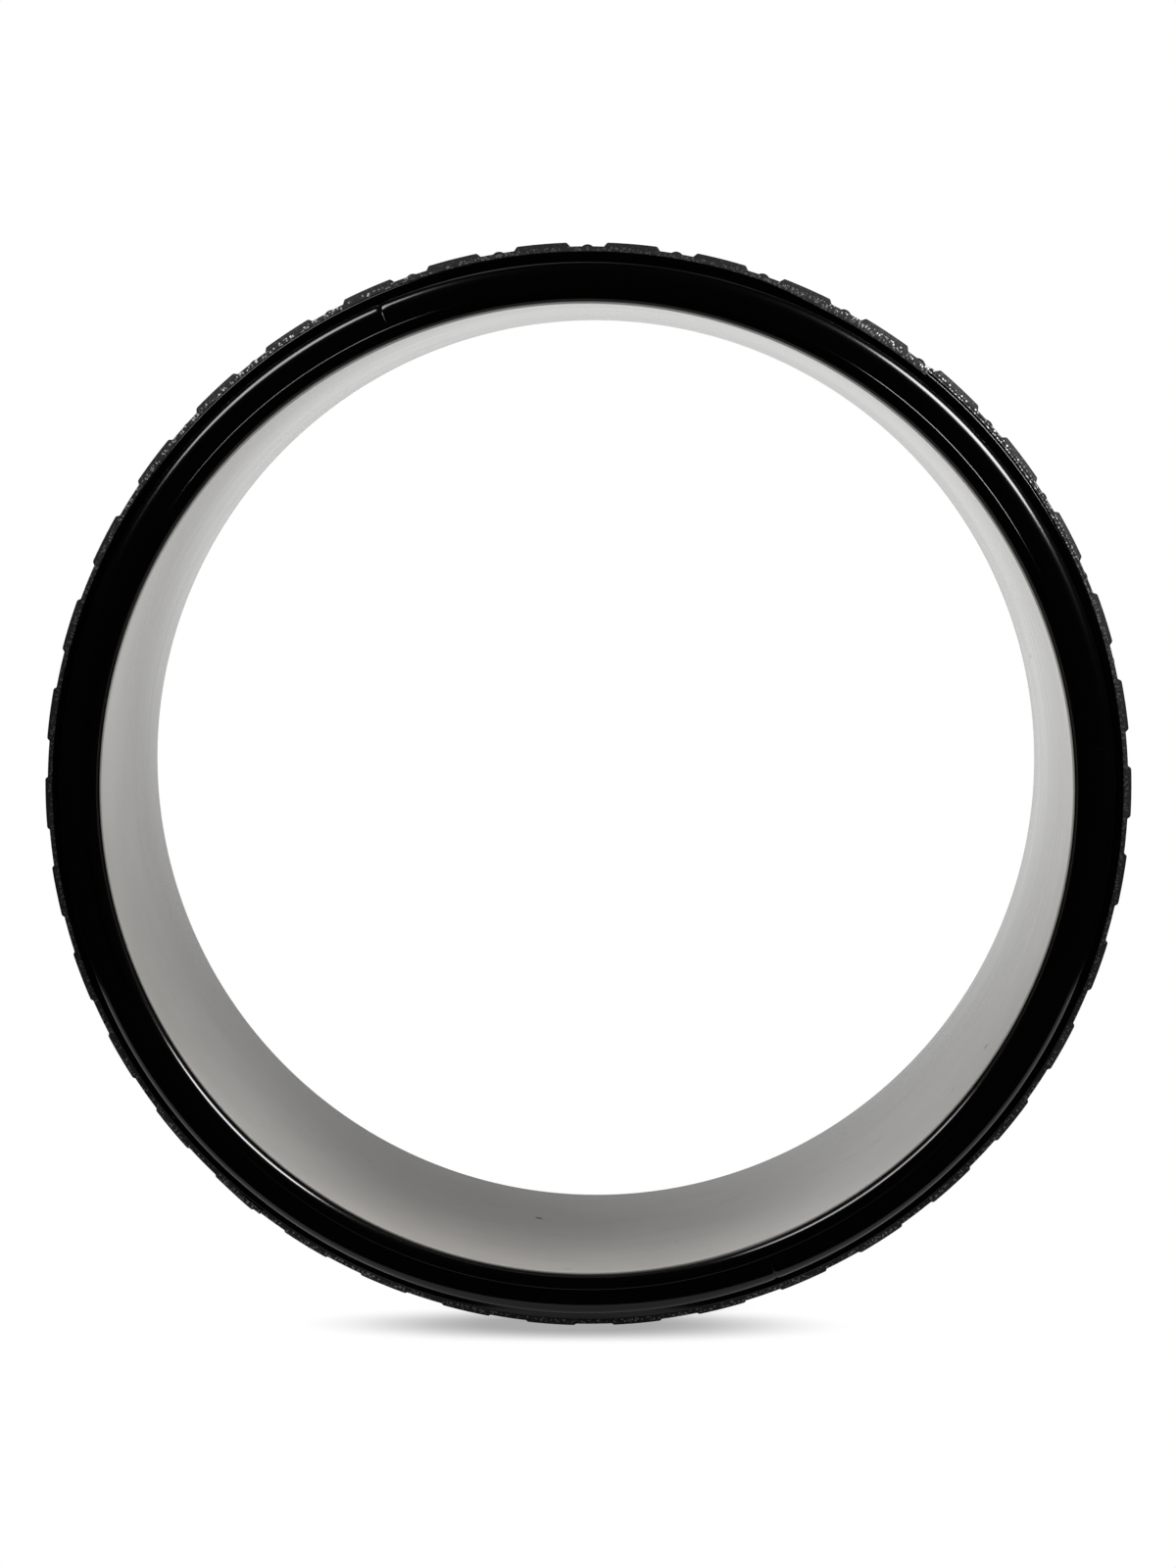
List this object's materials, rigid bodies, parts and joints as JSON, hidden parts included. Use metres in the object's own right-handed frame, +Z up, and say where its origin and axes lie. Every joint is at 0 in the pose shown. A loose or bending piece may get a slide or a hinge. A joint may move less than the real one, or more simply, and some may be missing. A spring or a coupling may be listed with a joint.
{
  "type": "yoga wheel",
  "caption": "Hollow ring-shaped yoga wheel: grey plastic drum, glossy black trimmed rims and a padded black tread with raised blocks, rolled under the back to stretch.",
  "frame": {"origin": "centre of the wheel, on its axis, midway between the two faces", "axes": "+Y along the wheel's axis from the front face to the rear, +X to the right seen from the front, +Z up"},
  "size_m": [0.33, 0.14, 0.3298],
  "materials": {
    "drum_plastic": "satin",
    "ring_plastic": "gloss",
    "trim_plastic": "gloss",
    "core_plastic": "matte",
    "splice_plastic": "matte",
    "tread_rubber": "matte",
    "bond_film": "matte"
  },
  "bodies": {
    "root": {"inner_drum": "drum_plastic", "outer_hoop": "core_plastic", "front_web": "core_plastic", "middle_web": "core_plastic", "rear_web": "core_plastic", "front_side_ring": "ring_plastic", "rear_side_ring": "ring_plastic", "front_trim_left": "trim_plastic", "front_trim_right": "trim_plastic", "rear_trim_left": "trim_plastic", "rear_trim_right": "trim_plastic", "front_splice_upper": "splice_plastic", "front_splice_lower": "splice_plastic", "rear_splice_upper": "splice_plastic", "rear_splice_lower": "splice_plastic", "tread_upper": "tread_rubber", "tread_lower": "tread_rubber", "tread_film_upper": "bond_film", "tread_film_lower": "bond_film"}
  },
  "joints": []
}
